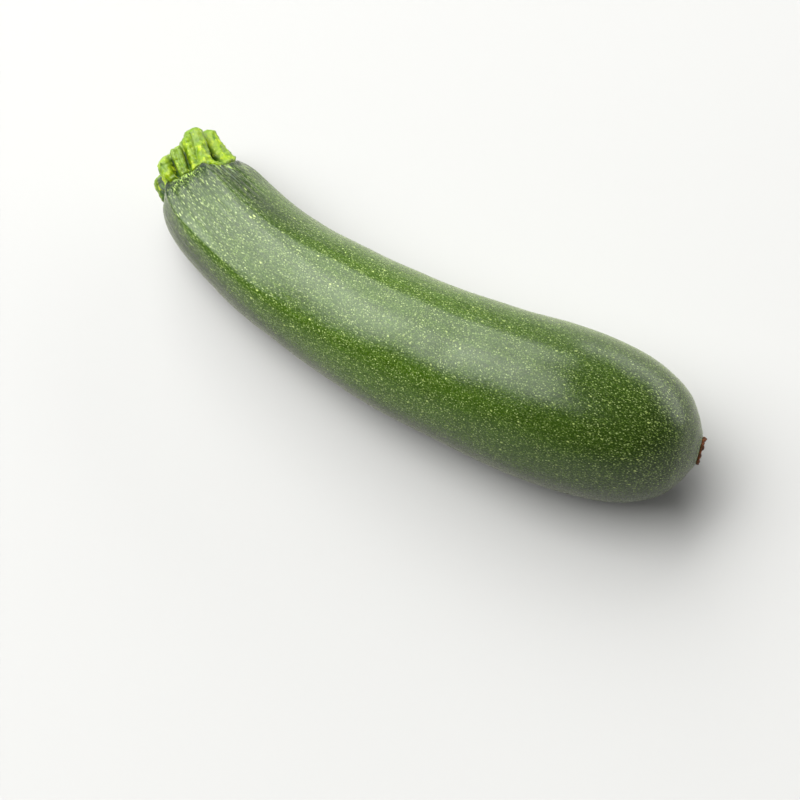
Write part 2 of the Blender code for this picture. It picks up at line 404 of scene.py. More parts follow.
def skin_edge(angle):
    """Distance from the shoulder at which the skin ends, at an array of angles."""
    edge = read_stations(EDGE_PLACES, angle % 360.0)
    for start, end, share, roundness in RIBS:
        edge = edge - TONGUE_REACH * ridge(angle, start, TONGUE_HALF_WIDTH, power=1.0)
    turn = np.radians(angle)
    ring = np.stack([np.cos(turn), np.sin(turn), np.full_like(turn, EDGE_RING_PLACE)], axis=1)
    ring[:, :2] = ring[:, :2] * EDGE_RING_RADIUS
    return edge + EDGE_RAGGEDNESS * layered_noise(ring, EDGE_GRAIN, COARSE_EDGE_GRAIN, 1.0, shift=50.0)


def ease(share):
    """0 below 0 and 1 above 1, with a smooth climb between them."""
    share = np.clip(share, 0.0, 1.0)
    return share * share * (3.0 - 2.0 * share)


def outline(distance, angle):
    """The radius of fruit and stalk as one shape: stalk above the shoulder, fruit below it."""
    fruit_share = ease((distance - skin_edge(angle) + BLEND_BEFORE) / BLEND_LENGTH)
    return stalk_section(distance, angle)[0] * (1.0 - fruit_share) + ribbed(distance, angle) * fruit_share


edge_places = skin_edge(ALL_ROUND)
print("the skin ends between", round(edge_places.min(), 1), "and", round(edge_places.max(), 1), "mm")

# %% [markdown]
# ## Turning a blank
#
# A fruit starts as a round body, so the first step is what a wood turner would do: draw half of its outline,
# and turn it about its axis. The outline is drawn by extruding one point again and again, and the Spin tool
# turns it. Points that meet at the axis are merged, so the poles are closed. The ribs come afterwards,
# because no tool carves them as evenly as a formula that moves each point along its own radius.


# %% Turn an outline about the X axis
MERGE_WITHIN = 0.002


def turn_blank(name, places, sides):
    """A closed round body along +X through (distance, radius) places, as the active object."""
    bpy.ops.object.select_all(action="DESELECT")
    bpy.ops.mesh.primitive_plane_add(size=MM)
    blank = bpy.context.object
    blank.name = name
    bpy.ops.object.mode_set(mode="EDIT")
    bpy.ops.mesh.select_all(action="SELECT")
    bpy.ops.mesh.merge(type="CENTER")
    points = [Vector((distance, radius, 0.0)) * MM for distance, radius in places]
    bpy.ops.transform.translate(value=points[0])
    for start, end in zip(points, points[1:]):
        bpy.ops.mesh.extrude_vertices_move(TRANSFORM_OT_translate={"value": end - start})
    bpy.ops.mesh.select_all(action="SELECT")
    bpy.ops.mesh.spin(steps=sides, angle=2.0 * math.pi, center=(0.0, 0.0, 0.0), axis=(1.0, 0.0, 0.0))
    bpy.ops.mesh.select_all(action="SELECT")
    bpy.ops.mesh.remove_doubles(threshold=MERGE_WITHIN * MM)
    bpy.ops.mesh.normals_make_consistent(inside=False)
    bpy.ops.object.mode_set(mode="OBJECT")
    bpy.ops.object.shade_smooth()
    print(name, "blank has", len(blank.data.polygons), "faces")
    return blank


def read_points(piece):
    """The piece's points as distance, angle and radius arrays, in millimetres and degrees."""
    flat = np.empty(len(piece.data.vertices) * 3)
    piece.data.vertices.foreach_get("co", flat)
    x, y, z = flat.reshape(-1, 3).T / MM
    return x, np.degrees(np.arctan2(z, y)), np.hypot(y, z)


def round_axis(distance, angle, radius):
    """Points round a straight axis: x along it, y and z across it."""
    turn = np.radians(angle)
    return np.stack([distance, radius * np.cos(turn), radius * np.sin(turn)], axis=1)


def write_points(piece, distance, angle, radius):
    """Put the points back round the axis, which is lifted to its height above the table."""
    points = round_axis(distance + SPINE_LEAD, angle, radius)
    points[:, 2] += read_stations(AXIS_HEIGHTS, distance)
    piece.data.vertices.foreach_set("co", (points * MM).ravel())
    piece.data.update()


def keep_on_points(piece, name, values):
    """Store a number or a vector on each point, for the material to read."""
    kind = "FLOAT" if values.ndim == 1 else "FLOAT_VECTOR"
    stored = piece.data.attributes.new(name, kind, "POINT")
    stored.data.foreach_set("value" if values.ndim == 1 else "vector", values.astype(np.float32).ravel())


# %% [markdown]
# ## Bending
#
# A zucchini grows crooked, because one side swells faster than the other. The CAD model bends its pieces
# along a level spine, and the same spine is used here, so that the fine meshes lie where the plain ones
# do. The Curve modifier reads how far a point is along X and puts it that far along the spine.

# %% Draw the spine
SPINE_LEAD = 25.2
SPINE_PLACE = Vector((10.14, -22.71, 0.0))
SPINE_POINTS = ((-120.0, 38.6), (-75.0, 20.4), (-29.0, 15.7), (15.0, 18.9), (57.0, 27.2), (105.0, 40.9))
SPINE_STEPS = 48

bpy.ops.object.select_all(action="DESELECT")
bpy.ops.curve.primitive_bezier_curve_add()
spine = bpy.context.object
spine.name = "spine"
spine.data.twist_mode = "Z_UP"
spine.data.resolution_u = SPINE_STEPS
spine.data.render_resolution_u = SPINE_STEPS
spine.data.splines[0].bezier_points.add(len(SPINE_POINTS) - 2)
for point, (x, y) in zip(spine.data.splines[0].bezier_points, SPINE_POINTS):
    point.co = (Vector((x, y, 0.0)) + SPINE_PLACE) * MM
    point.handle_left_type = "AUTO"
    point.handle_right_type = "AUTO"
print("the spine has", len(SPINE_POINTS), "points, with", SPINE_STEPS, "steps between each two")


def bend(piece):
    """Bend a straight piece along the spine, for good."""
    bpy.ops.object.select_all(action="DESELECT")
    piece.select_set(True)
    bpy.context.view_layer.objects.active = piece
    modifier = piece.modifiers.new("bend", "CURVE")
    modifier.object = spine
    modifier.deform_axis = "POS_X"
    bpy.ops.object.modifier_apply(modifier=modifier.name)


# %% [markdown]
# ## The fruit
#
# The blank has close rings at both ends, where the shape changes fastest. Its points then take the outline
# with the ribs, gentle lumps as any grown thing has, and small furrows beside the ribs under the stalk.
# Towards the stalk the skin follows its ragged edge and dives inside.

# %% Turn the fruit
SKIN_TOP = -2.4
SKIN_SIDES = 256
SKIN_RINGS = 320
EVEN_SHARE = 0.45
BLUNT_END = (
    # distance past the last ring, radius
    (0.25, 4.2), (0.35, 2.4), (0.4, 0.0),
)

ring_share = np.linspace(0.0, 1.0, SKIN_RINGS + 1)
ring_share = EVEN_SHARE * ring_share + (1.0 - EVEN_SHARE) * (0.5 - 0.5 * np.cos(np.pi * ring_share))
ring_distances = SKIN_TOP + (FRUIT_LENGTH - SKIN_TOP) * ring_share
fruit_places = [(SKIN_TOP, 0.0)]
fruit_places += list(zip(ring_distances, read_stations(OUTLINE_RADII, ring_distances)))
fruit_places += [(FRUIT_LENGTH + out, radius) for out, radius in BLUNT_END]
fruit_skin = turn_blank("fruit_skin", fruit_places, SKIN_SIDES)

# %% Shape the fruit
LUMP_SIZE = 17.0
FINE_LUMP_SIZE = 7.65
FINE_LUMP_SHARE = 0.35
LUMP_HEIGHT = 0.28
FURROWS = (
    # angle, depth (below 0: a fold that stands out), half width
    (47.0, 0.55, 2.6), (56.0, 0.75, 2.2), (65.0, 0.70, 2.2), (74.0, 0.55, 2.4), (130.0, 0.30, 3.5),
    (98.0, 0.12, 3.0), (115.0, 0.12, 3.0), (137.0, -0.45, 2.8), (82.0, -0.35, 4.0), (13.0, -0.3, 4.0),
    (213.0, -0.5, 3.6), (292.0, -0.4, 4.0), (204.0, 0.4, 4.0), (283.0, 0.3, 4.0),
)
FURROW_DEPTHS = ((-4.0, 0.7), (0.0, 0.8), (3.0, 1.0), (9.0, 0.9), (20.0, 0.4), (32.0, 0.0), (190.0, 0.0))
SKIN_STEP = 0.28
STREAK_WIDTH = 0.8
STREAK_LENGTH = 14.0
STREAK_HEIGHTS = ((0.0, 0.09), (20.0, 0.08), (60.0, 0.03), (90.0, 0.0), (190.0, 0.0))
DIVE_SLOPE = 1.5
DIVE_LIMIT = 3.0
ON_SKIN_FROM = 0.999

distance, angle, radius = read_points(fruit_skin)
round_radius = np.interp(distance, ring_distances, read_stations(OUTLINE_RADII, ring_distances))
share = np.clip(radius / round_radius, 0.0, 1.0)
around = round_axis(distance, angle, round_radius)
lumps = layered_noise(around, LUMP_SIZE, FINE_LUMP_SIZE, FINE_LUMP_SHARE, shift=70.0)
furrows = sum(depth * ridge(angle, centre, width) for centre, depth, width in FURROWS)
furrows = furrows * read_stations(FURROW_DEPTHS, distance)
streak_points = round_axis(distance / STREAK_LENGTH, angle, round_radius / STREAK_WIDTH)
streaks = read_stations(STREAK_HEIGHTS, distance) * soft_noise(streak_points, 1.0)
beyond_edge = np.clip(skin_edge(angle) - distance, 0.0, None)
dive = np.minimum(beyond_edge * DIVE_SLOPE, DIVE_LIMIT)
grown = outline(distance, angle) + SKIN_STEP + LUMP_HEIGHT * lumps + streaks - furrows - dive
on_skin = share > ON_SKIN_FROM
radius = np.where(on_skin, grown, radius)
print("skin radius from", round(radius[on_skin].min(), 1), "to", round(radius.max(), 1))

# %% [markdown]
# ## What each point of the skin remembers
#
# The flecks are drawn out lengthwise near both ends and round between. A pattern that reads plain positions
# looks the same everywhere, so each point keeps a place of its own in the grain of the skin. Where less
# grain passes for each millimetre of skin, the pattern is drawn out. The skin is measured along its own
# curve, so nothing smears where the blunt end closes. Each point also keeps how flecked it is, and where
# light and shade are painted into its colour: painted shade gives a deeper green with fewer flecks on the
# side away from the light and behind a rib near the stalk, painted shade darkens the crease where skin
# meets stalk, and a painted rim light makes the far side a yellower green.

# %% Lay the grain of the skin
HAIR = 0.01
BLUNT_FROM = 150.0
GRAIN_STRETCH = (
    (0.0, 0.24), (12.0, 0.28), (40.0, 0.6), (80.0, 0.9), (150.0, 0.8), (180.0, 0.5), (220.0, 0.35),
)
GRAIN_FINENESS = ((-4.0, 1.65), (0.0, 1.6), (40.0, 1.3), (100.0, 1.1), (135.0, 1.2), (190.0, 1.3))
GRAIN_NARROWING = 0.8
END_RADIUS = 5.0
END_STEPS = 30


def order_along(distance, radius):
    """A number that grows along the skin, also on the blunt end, where only the radius still changes."""
    return np.where(distance < FRUIT_LENGTH - HAIR, distance, FRUIT_LENGTH + END_RADIUS - radius)


path = np.append(ring_distances, np.full(END_STEPS, FRUIT_LENGTH + BLUNT_END[-1][0]))
path_radii = np.append(read_stations(OUTLINE_RADII, ring_distances), np.linspace(END_RADIUS, 0.0, END_STEPS))
path_steps = np.hypot(np.diff(path), np.diff(path_radii))
travelled = SKIN_TOP + np.append(0.0, np.cumsum(path_steps))
grain_steps = path_steps * read_stations(GRAIN_STRETCH, travelled[1:])
grain_travelled = np.append(0.0, np.cumsum(grain_steps))
grain_along = np.interp(order_along(distance, radius), order_along(path, path_radii), grain_travelled)
grain_radius = read_stations(OUTLINE_RADII, np.clip(distance, 0.0, BLUNT_FROM))
grain_radius = grain_radius * read_stations(GRAIN_FINENESS, distance)
narrowing = np.clip(radius / read_stations(OUTLINE_RADII, BLUNT_FROM), 0.0, 1.0) ** GRAIN_NARROWING
grain_radius = np.where(distance > BLUNT_FROM, grain_radius * narrowing, grain_radius)
grain = round_axis(grain_along, angle, grain_radius)
print("the grain is", round(grain_travelled[-1], 1), "long on a skin of", round(travelled[-1], 1), "mm")

# %% Find where shade and rim light are painted
SHADE_BEGINS = ((0.0, 138.0), (70.0, 165.0))
SHADE_BLEND = 16.0
SHADE_ENDS = 330.0
SHADE_END_BLEND = 40.0
BEHIND_RIB_ANGLE = 63.0
BEHIND_RIB_WIDTH = 17.0
BEHIND_RIB_SHARE = 0.85
BEHIND_RIB_FADES = (30.0, 65.0)
RIM_LIGHT_ANGLE = -25.0
RIM_LIGHT_WIDTH = 60.0
RIM_LIGHT_GROWS = (35.0, 85.0)

# Painted shade: a deeper green on the side away from the light, from about 138 degrees near the stalk and 165
# further on, round to 330.
full_angle = angle % 360.0
shade_begins = read_stations(SHADE_BEGINS, distance)
painted_shade = np.clip((full_angle - shade_begins) / SHADE_BLEND, 0.0, 1.0)
painted_shade = painted_shade * np.clip((SHADE_ENDS - full_angle) / SHADE_END_BLEND, 0.0, 1.0)
# Painted shade in the crease behind the rib at about 63 degrees, fading out between 30 and 65 mm.
painted_shade_behind_rib = BEHIND_RIB_SHARE * ridge(angle, BEHIND_RIB_ANGLE, BEHIND_RIB_WIDTH)
painted_shade_behind_rib = painted_shade_behind_rib * np.interp(distance, BEHIND_RIB_FADES, (1.0, 0.0))
painted_shade = np.maximum(painted_shade, painted_shade_behind_rib)
# Painted rim light: a yellower green on the far side, growing in from 35 to 85 mm.
painted_rim_light = ridge(angle, RIM_LIGHT_ANGLE, RIM_LIGHT_WIDTH, 6.0) * np.interp(distance, RIM_LIGHT_GROWS, (0.0, 1.0))
print("shaded points", int((painted_shade > 0.5).sum()), "rim_lit points", int((painted_rim_light > 0.5).sum()))

# %% Keep these on the points of the skin
FLECKINESS = ((0.0, 1.0), (85.0, 1.0), (125.0, 0.72), (155.0, 0.68), (180.0, 1.0), (190.0, 1.0))
FLECKS_LOST_IN_SHADE = 0.55
RIB_STRIPE_WIDTH = 5.0
# Painted shade in the crease where the skin meets the stalk, just below the skin's edge at these angles.
CREASE_SHADES = (
    # angle, half width, power of its edge, share
    (14.0, 34.0, 4.0, 1.0), (137.0, 12.0, 2.0, 1.0), (82.0, 8.0, 2.0, 1.0), (245.0, 80.0, 4.0, 0.7),
)
# Fewer flecks where shade is painted.
fleckiness = read_stations(FLECKINESS, distance) * (1.0 - FLECKS_LOST_IN_SHADE * painted_shade)
on_rib = sum(ridge(angle, rib_angle, RIB_STRIPE_WIDTH) for rib_angle in rib_angles(distance))
crease_shade = sum(share * ridge(angle, centre, width, power) for centre, width, power, share in CREASE_SHADES)
keep_on_points(fruit_skin, "grain", grain)
keep_on_points(fruit_skin, "along", distance)
keep_on_points(fruit_skin, "past_edge", distance - skin_edge(angle))
keep_on_points(fruit_skin, "on_rib", on_rib)
keep_on_points(fruit_skin, "painted_shade", painted_shade)
keep_on_points(fruit_skin, "painted_rim_light", painted_rim_light)
keep_on_points(fruit_skin, "crease_shade", np.clip(crease_shade, 0.0, 1.0))
keep_on_points(fruit_skin, "fleckiness", fleckiness)
print("fleckiness from", round(fleckiness.min(), 2), "to", round(fleckiness.max(), 2))
write_points(fruit_skin, distance, angle, radius)
bend(fruit_skin)


# %% Flatten the underside where it rests
def rest_on_table(piece):
    """Nothing reaches below the table: the skin is pressed flat where its weight lies on it."""
    flat = np.empty(len(piece.data.vertices) * 3)
    piece.data.vertices.foreach_get("co", flat)
    points = flat.reshape(-1, 3)
    pressed = int((points[:, 2] < 0.0).sum())
    points[:, 2] = np.maximum(points[:, 2], 0.0)
    piece.data.vertices.foreach_set("co", points.ravel())
    piece.data.update()
    print(piece.name, "rests on", pressed, "points")


rest_on_table(fruit_skin)

# %% [markdown]
# ## The stub of the stalk
#
# The stub is woody and wet where it was cut. Its columns end in blunt lobes of different lengths, because
# the knife went through at a slant, and the cut face is a little torn. It is turned like the fruit, from the
# middle of the cut face outwards and down to a foot inside the shoulder. Its points then take the same
# outline, with knobs and lengthwise fibres that the smooth skin doesn't have.

# %% Turn the stub
STUB_LENGTH = 10.7
STUB_FOOT = 8.0
STUB_SIDES = 300
STUB_RINGS = 56
CUT_RINGS = 22
RIM_ROUND = 1.5
RIM_RINGS = 8

rim_radius = float(read_stations(OUTLINE_RADII, -STUB_LENGTH))
stub_places = [(-STUB_LENGTH, (rim_radius - RIM_ROUND) * step / CUT_RINGS) for step in range(CUT_RINGS)]
for step in range(RIM_RINGS):
    rim_turn = 0.5 * math.pi * step / RIM_RINGS
    stub_places.append((
        -STUB_LENGTH + RIM_ROUND * (1.0 - math.cos(rim_turn)),
        rim_radius - RIM_ROUND * (1.0 - math.sin(rim_turn)),
    ))
for place in np.linspace(-STUB_LENGTH + RIM_ROUND, STUB_FOOT, STUB_RINGS):
    stub_places.append((place, float(read_stations(OUTLINE_RADII, place))))
stub_places.append((STUB_FOOT, 0.0))
stem_stub = turn_blank("stem_stub", stub_places, STUB_SIDES)

# %% Cut the stub
STRETCH_FROM = -3.0
LOBES_READ_AT = -9.0
CUT_MIDDLE = -10.3
CUT_FLAT_TO = 0.45
CUT_RISE = 0.5
CUT_SLANT = -2.3
CUT_SLANT_TOWARDS = 45.0
TORN_SIZE = 1.6
FINE_TORN_SIZE = 0.72
FINE_SHARE = 0.6
TORN_HEIGHT = 0.5
TORN_STOPS = 0.1

distance, angle, radius = read_points(stem_stub)
on_side = distance > -STUB_LENGTH + RIM_ROUND - HAIR
round_radius = np.where(on_side, read_stations(OUTLINE_RADII, distance), rim_radius)
share = np.clip(radius / round_radius, 0.0, 1.0)
_, ends, bevels = stalk_section(np.full_like(distance, LOBES_READ_AT), angle)
stretch = (ends - STRETCH_FROM) / (-STUB_LENGTH - STRETCH_FROM)
distance = np.where(distance < STRETCH_FROM, STRETCH_FROM + (distance - STRETCH_FROM) * stretch, distance)
cut_plane = CUT_MIDDLE + CUT_SLANT * share * np.cos(np.radians(angle - CUT_SLANT_TOWARDS))
towards_rim = ease((share - CUT_FLAT_TO) / CUT_RISE)
distance = np.where(on_side, distance, cut_plane + (distance - cut_plane) * towards_rim)
full = outline(distance, angle)
near_end = np.clip(1.0 - (distance - ends) / bevels, 0.0, 1.0)
around = round_axis(distance, angle, share * full)
torn = TORN_HEIGHT * layered_noise(around, TORN_SIZE, FINE_TORN_SIZE, FINE_SHARE, shift=90.0)
torn = torn * np.clip((1.0 - share) / TORN_STOPS, 0.0, 1.0)
distance = np.where(on_side, distance, distance + torn)
print("cut face from", round(distance[~on_side].min(), 1), "to", round(distance[~on_side].max(), 1), "mm")

# %% Shape the sides of the stub
BEVEL_DROP = 0.65
BEVEL_FROM = 9.0
BEVEL_REACH = 3.0
KNOB_SIZE = 1.5
FINE_KNOB_SIZE = 0.75
KNOB_HEIGHT = 0.42
FIBRE_WIDTH = 0.8
FIBRE_LENGTH = 5.0
FIBRE_HEIGHT = 0.28
CREVICE_DEPTH = 1.2
CREVICE_WIDTH = 0.8
CREVICE_PLACE = -0.3

bevel = BEVEL_DROP * bevels * near_end ** 2 * np.clip((full - BEVEL_FROM) / BEVEL_REACH, 0.0, 1.0)
knobs = KNOB_HEIGHT * layered_noise(around, KNOB_SIZE, FINE_KNOB_SIZE, FINE_SHARE, shift=30.0)
fibre_points = round_axis(distance / FIBRE_LENGTH, angle, share * full / FIBRE_WIDTH)
fibres = FIBRE_HEIGHT * soft_noise(fibre_points, 1.0)
past_edge = distance - skin_edge(angle)
dive = np.minimum(np.clip(past_edge, 0.0, None) * DIVE_SLOPE, DIVE_LIMIT)
crevice = CREVICE_DEPTH * np.exp(-((past_edge - CREVICE_PLACE) / CREVICE_WIDTH) ** 2)
radius = share * (full - bevel + knobs + fibres - dive - crevice)
print("stub radius up to", round(radius.max(), 1))

# %% Keep these on the points of the stub
GROOVE_FLOOR = 10.3
GROOVE_FLOOR_SLOPE = 0.25
CREST_ABOVE_FLOOR = 3.4

groove_floor = GROOVE_FLOOR + GROOVE_FLOOR_SLOPE * distance
crest_share = np.clip((full - groove_floor) / CREST_ABOVE_FLOOR, 0.0, 1.0)
keep_on_points(stem_stub, "fibre", around)
keep_on_points(stem_stub, "cut", np.where(on_side, 0.0, 1.0))
keep_on_points(stem_stub, "cut_share", share)
keep_on_points(stem_stub, "near_end", near_end)
keep_on_points(stem_stub, "past_edge", past_edge)
keep_on_points(stem_stub, "on_crest", crest_share)
print("points on the crest of a lobe:", int((crest_share > 0.9).sum()))
write_points(stem_stub, distance, angle, radius)
bend(stem_stub)

# %% [markdown]
# ## The scar of the flower
#
# The flower dried up and broke off, and what it left is a thin brown disc, cracked and uneven, that clings
# to the blunt end of the fruit. It is turned from a flat outline with a thicker rim, and its edge is then
# made ragged, with two corners where petals tore off.

# %% Turn the scar
SCAR_RADIUS = 3.8
SCAR_THICKNESS = 1.2
SCAR_SIDES = 96
SCAR_PLACES = (
    (0.0, 0.0), (0.0, 0.5), (0.02, 0.8), (0.1, 0.95), (0.5, 1.0), (0.9, 0.96), (1.0, 0.88), (0.9, 0.75),
    (0.75, 0.6), (0.7, 0.45), (0.75, 0.3), (0.8, 0.15), (0.8, 0.0),
)
scar_places = [(FRUIT_LENGTH + SCAR_THICKNESS * out, SCAR_RADIUS * reach) for out, reach in SCAR_PLACES]
flower_scar = turn_blank("flower_scar", scar_places, SCAR_SIDES)

# %% Shape the scar
SCAR_RING_RADIUS = 4.0
RAGGED_SIZE = 1.3
FINE_RAGGED_SIZE = 0.6
RAGGED_REACH = 0.6
SCAR_CORNERS = (
    # angle, half width, how far it sticks out
    (30.0, 16.0, 0.9), (205.0, 20.0, 0.5),
)
CORNER_LIFT = 0.4
CRUMPLE_SIZE = 1.2
CRUMPLE_HEIGHT = 0.6

distance, angle, radius = read_points(flower_scar)
turn = np.radians(angle)
ring = np.stack([np.cos(turn), np.sin(turn), np.zeros_like(turn)], axis=1) * SCAR_RING_RADIUS
ragged = layered_noise(ring, RAGGED_SIZE, FINE_RAGGED_SIZE, FINE_SHARE, shift=20.0)
share = radius / SCAR_RADIUS
around = round_axis(distance, angle, radius)
crumple = CRUMPLE_HEIGHT * soft_noise(around, CRUMPLE_SIZE)
out = (distance - FRUIT_LENGTH) / SCAR_THICKNESS
corner = sum(size * ridge(angle, centre, width) for centre, width, size in SCAR_CORNERS)
reach = radius + share * (RAGGED_REACH * ragged + corner)
print("the scar's corners reach", round(reach.max(), 1), "mm from its middle")
write_points(flower_scar, distance + out * (crumple + CORNER_LIFT * corner * share), angle, reach)
bend(flower_scar)

bpy.data.objects.remove(spine)

# %% [markdown]
# ## Waxy skin
#
# Zucchini skin is a thin, smooth rind under a film of wax. It gives the eye a deep green, a satin sheen, and
# thousands of pale flecks, which are small patches of skin with little green in them. The flecks are round on
# the belly, and drawn out lengthwise near both ends, where the skin stretched as the fruit grew. They are
# cells of a Voronoi pattern that reads the skin's own grain, so that they follow the bend. The smallest real
# ones measure about 0.2 mm, and are drawn a little coarser, so that they still show in a picture.

# %% Start the skin
skin = bpy.data.materials.new("waxy_zucchini_skin")
skin.use_nodes = True
tree = skin.node_tree
skin_shader = tree.nodes["Principled BSDF"]
skin_grain = add_node(tree, "Attribute", attribute_name="grain").outputs["Vector"]
skin_along = add_node(tree, "Attribute", attribute_name="along").outputs["Fac"]
skin_past_edge = add_node(tree, "Attribute", attribute_name="past_edge").outputs["Fac"]
skin_on_rib = add_node(tree, "Attribute", attribute_name="on_rib").outputs["Fac"]
skin_painted_shade = add_node(tree, "Attribute", attribute_name="painted_shade").outputs["Fac"]
skin_painted_rim_light = add_node(tree, "Attribute", attribute_name="painted_rim_light").outputs["Fac"]
skin_crease_shade = add_node(tree, "Attribute", attribute_name="crease_shade").outputs["Fac"]
skin_fleckiness = add_node(tree, "Attribute", attribute_name="fleckiness").outputs["Fac"]

# %% Green: paler towards the stalk, with soft clouds and lengthwise streaks
clouds = add_node(tree, "TexNoise", {"Vector": skin_grain, "Scale": 1 / 7.0, "Detail": 3.0})
stalk_green = add_node(
    tree, "Mix", {0: clouds.outputs["Fac"], 6: shade("#2d4503"), 7: shade("#385607")}, data_type="RGBA"
)
flower_green = add_node(
    tree, "Mix", {0: clouds.outputs["Fac"], 6: shade("#1f310a"), 7: shade("#293b10")}, data_type="RGBA"
)
towards_flower = add_node(tree, "MapRange", {"Value": skin_along, "From Min": 90.0, "From Max": 175.0})
green = add_node(
    tree, "Mix", {0: towards_flower.outputs[0], 6: stalk_green.outputs[2], 7: flower_green.outputs[2]},
    data_type="RGBA",
)
streak_grain = add_node(tree, "Mapping", {"Vector": skin_grain, "Scale": (0.1, 1.0, 1.0)})
streak_noise = add_node(
    tree, "TexNoise", {"Vector": streak_grain.outputs[0], "Scale": 1 / 1.4, "Detail": 2.0}
)
streak_light = add_node(
    tree, "MapRange",
    {"Value": streak_noise.outputs["Fac"], "From Min": 0.3, "From Max": 0.7, "To Min": 0.85, "To Max": 1.15},
)
streaked = add_node(tree, "HueSaturation", {"Color": green.outputs[2], "Value": streak_light.outputs[0]})

# %% Yellower where rim light is painted, deeper where shade is painted, darker near the stalk
# Painted rim light: a yellower green on the far side.
rim_light_mix = add_node(
    tree, "Mix", {0: skin_painted_rim_light, 6: streaked.outputs[0], 7: shade("#4e6814")}, data_type="RGBA"
)
# Painted shade: a deeper green on the side away from the light and behind a rib near the stalk.
deeper = add_node(
    tree, "Mix", {0: skin_painted_shade, 6: rim_light_mix.outputs[2], 7: shade("#1c2e08")}, data_type="RGBA"
)
near_shoulder = add_node(
    tree, "MapRange",
    {"Value": skin_past_edge, "From Min": 1.0, "From Max": 16.0, "To Min": 1.0, "To Max": 0.0},
)
shouldered = add_node(
    tree, "Mix", {0: near_shoulder.outputs[0], 6: deeper.outputs[2], 7: shade("#1a3006")}, data_type="RGBA"
)

# %% Flecks in three sizes
wander = add_node(tree, "TexNoise", {"Vector": skin_grain, "Scale": 1 / 0.5, "Detail": 1.0})
fleck_grain = add_node(
    tree, "VectorMath", {0: wander.outputs["Color"], 1: (0.35, 0.35, 0.35), 2: skin_grain},
    operation="MULTIPLY_ADD",
)
FLECKS = (
    # cell size in mm, then as shares of a cell: radius of the core and of the soft edge; strength; colour
    (0.48, 0.05, 0.60, 0.88, "#86a04e"),
    (0.68, 0.08, 0.38, 1.00, "#bccf86"),
    (2.40, 0.05, 0.18, 0.95, "#c2d47e"),
)
flecked_colour = shouldered.outputs[2]
for cell, core, edge, strength, colour in FLECKS:
    cells = add_node(tree, "TexVoronoi", {"Vector": fleck_grain.outputs[0], "Scale": 1 / cell})
    spots = add_node(
        tree, "MapRange",
        {"Value": cells.outputs["Distance"], "From Min": edge, "From Max": core, "To Max": strength},
        interpolation_type="SMOOTHSTEP",
    )
    chance = add_node(tree, "SeparateColor", {0: cells.outputs["Color"]})
    likely = add_node(tree, "Math", {0: chance.outputs[0], 1: skin_fleckiness}, operation="MULTIPLY")
    showing = add_node(tree, "Math", {0: spots.outputs[0], 1: likely.outputs[0]}, operation="MULTIPLY")
    flecked = add_node(
        tree, "Mix", {0: showing.outputs[0], 6: flecked_colour, 7: shade(colour)}, data_type="RGBA"
    )
    flecked_colour = flecked.outputs[2]

# %% Pale fibres from the stalk, dark tongues on the ribs, and painted shade along the ribs and in the crease
fibre_grain = add_node(tree, "Mapping", {"Vector": skin_grain, "Scale": (0.35, 1.0, 1.0)})
fibres_down = add_node(tree, "TexNoise", {"Vector": fibre_grain.outputs[0], "Scale": 1 / 0.7, "Detail": 2.0})
near_stalk = add_node(
    tree, "MapRange",
    {"Value": skin_past_edge, "From Min": 0.0, "From Max": 9.0, "To Min": 0.02, "To Max": -0.3},
)
fibre_level = add_node(
    tree, "Math", {0: fibres_down.outputs["Fac"], 1: near_stalk.outputs[0]}, operation="ADD"
)
fibre_mask = add_node(
    tree, "MapRange", {"Value": fibre_level.outputs[0], "From Min": 0.5, "From Max": 0.62},
    interpolation_type="SMOOTHSTEP",
)
fibred = add_node(
    tree, "Mix", {0: fibre_mask.outputs[0], 6: flecked_colour, 7: shade("#93b052")}, data_type="RGBA"
)
# The dark tongues are the skin's own blue-green where it climbs the ribs; the same colour, carried some 7 mm
# down each rib's crest, is painted shade on the crest's side turned from the light.
tongue_fade = add_node(
    tree, "MapRange",
    {"Value": skin_past_edge, "From Min": 1.0, "From Max": 7.0, "To Min": 1.0, "To Max": 0.0},
)
tongue_and_crest_shade_mask = add_node(tree, "Math", {0: tongue_fade.outputs[0], 1: skin_on_rib}, operation="MULTIPLY")
tongued_and_crest_shaded = add_node(
    tree, "Mix", {0: tongue_and_crest_shade_mask.outputs[0], 6: fibred.outputs[2], 7: shade("#1b2f1a")}, data_type="RGBA"
)
# Painted shade: a dark band just below the skin's edge, for the shadow in the crease under the stalk.
crease_shade_mask = add_node(
    tree, "MapRange",
    {"Value": skin_past_edge, "From Min": 0.6, "From Max": 2.2, "To Min": 0.95, "To Max": 0.0},
    interpolation_type="SMOOTHSTEP",
)
crease_shade_here = add_node(tree, "Math", {0: crease_shade_mask.outputs[0], 1: skin_crease_shade}, operation="MULTIPLY")
crease_shaded = add_node(
    tree, "Mix", {0: crease_shade_here.outputs[0], 6: tongued_and_crest_shaded.outputs[2], 7: shade("#142414")}, data_type="RGBA"
)
tree.links.new(crease_shaded.outputs[2], skin_shader.inputs["Base Color"])

